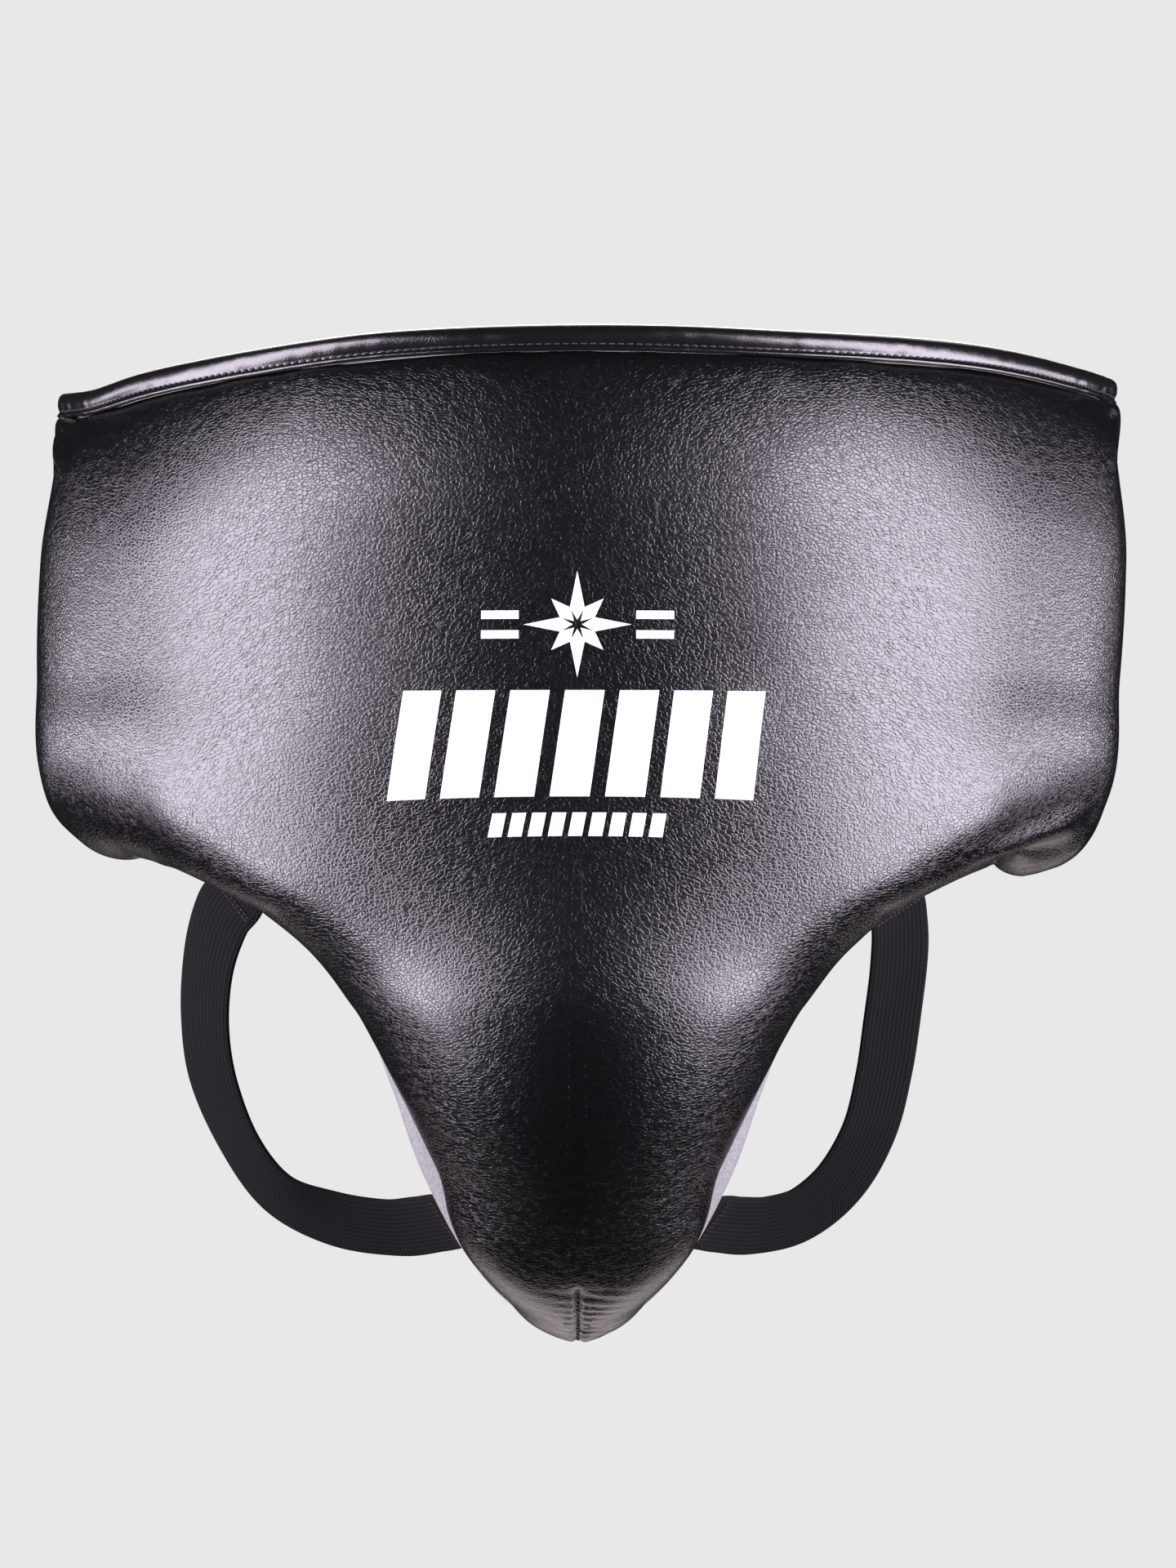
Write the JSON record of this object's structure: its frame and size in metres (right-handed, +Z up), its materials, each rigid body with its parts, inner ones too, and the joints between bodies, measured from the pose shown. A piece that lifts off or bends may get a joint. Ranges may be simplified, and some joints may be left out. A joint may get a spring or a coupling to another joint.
{
  "type": "groin protector",
  "caption": "Padded leather abdomen and groin guard with a hard cup inside, an elastic waist belt with a hook and loop closure, and elastic leg straps.",
  "frame": {"origin": "centre of the waist opening, at the height where the front centre line of the shell has its waist", "axes": "+Z up, -Y out of the front, +X towards the wearer's left"},
  "size_m": [0.4075, 0.2506, 0.3754],
  "materials": {
    "cover_leather": "semi-gloss black coated leather, fine pebble grain",
    "binding_leather": "smooth glossy black coated leather strip",
    "lining_fabric": "matt black knitted polyester",
    "foam": "closed cell foam",
    "cup_plastic": "moulded polypropylene",
    "rim_rubber": "soft moulded edge",
    "print_white": "flat white transfer print",
    "thread": "black bonded thread",
    "elastic": "matt black woven elastic",
    "hook": "black hook tape",
    "loop": "black loop pile"
  },
  "bodies": {
    "shell": {"front_cover": "cover_leather", "back_lining": "lining_fabric", "top_binding": "binding_leather", "binding_stitches": "thread", "front_foam": "foam", "abdomen_pad": "foam", "hip_pad_right": "foam", "hip_pad_left": "foam", "groin_pad": "foam", "hard_cup": "cup_plastic", "cup_rim": "rim_rubber", "cup_liner": "foam", "front_emblem": "print_white", "tip_dart_stitches": "thread", "belt_anchor_right": "cover_leather", "belt_anchor_left": "cover_leather", "belt_anchor_stitches": "thread", "strap_anchor_right": "elastic", "strap_anchor_left": "elastic", "strap_bartacks": "thread"},
    "belt_outer": {"belt_band_outer": "elastic", "hook_strip": "hook"},
    "closure_tab_body": {"closure_tab": "cover_leather", "hook_panel": "hook", "tab_stitches": "thread"},
    "belt_inner": {"belt_band_inner": "elastic", "loop_panel": "loop", "loop_panel_stitches": "thread"},
    "leg_loop_right": {"leg_strap_right": "elastic"},
    "leg_loop_left": {"leg_strap_left": "elastic"}
  },
  "joints": [
    {"name": "belt_outer_swing", "type": "hinge", "parent": "shell", "child": "belt_outer", "pos_m": [-0.1905, -0.014, 0.012], "axis": [0, 0, 1], "range_deg": [0, 75]},
    {"name": "belt_inner_swing", "type": "hinge", "parent": "shell", "child": "belt_inner", "pos_m": [0.1905, -0.014, 0.012], "axis": [0, 0, -1], "range_deg": [0, 37.5]},
    {"name": "tab_peel", "type": "hinge", "parent": "belt_outer", "child": "closure_tab_body", "pos_m": [0.004, 0.09598, 0.012], "axis": [0, 0, 1], "range_deg": [0, 80]},
    {"name": "leg_loop_right_swing", "type": "hinge", "parent": "shell", "child": "leg_loop_right", "pos_m": [-0.085, -0.069, -0.16075], "axis": [0.5379, 0.1226, -0.8341], "range_deg": [-25, 35]},
    {"name": "leg_loop_left_swing", "type": "hinge", "parent": "shell", "child": "leg_loop_left", "pos_m": [0.08175, -0.0715, -0.16275], "axis": [-0.4935, 0.1657, -0.8538], "range_deg": [-35, 25]}
  ],
  "couplings": [
    {"joint": "belt_inner_swing", "follows": "belt_outer_swing", "ratio": 0.5}
  ]
}
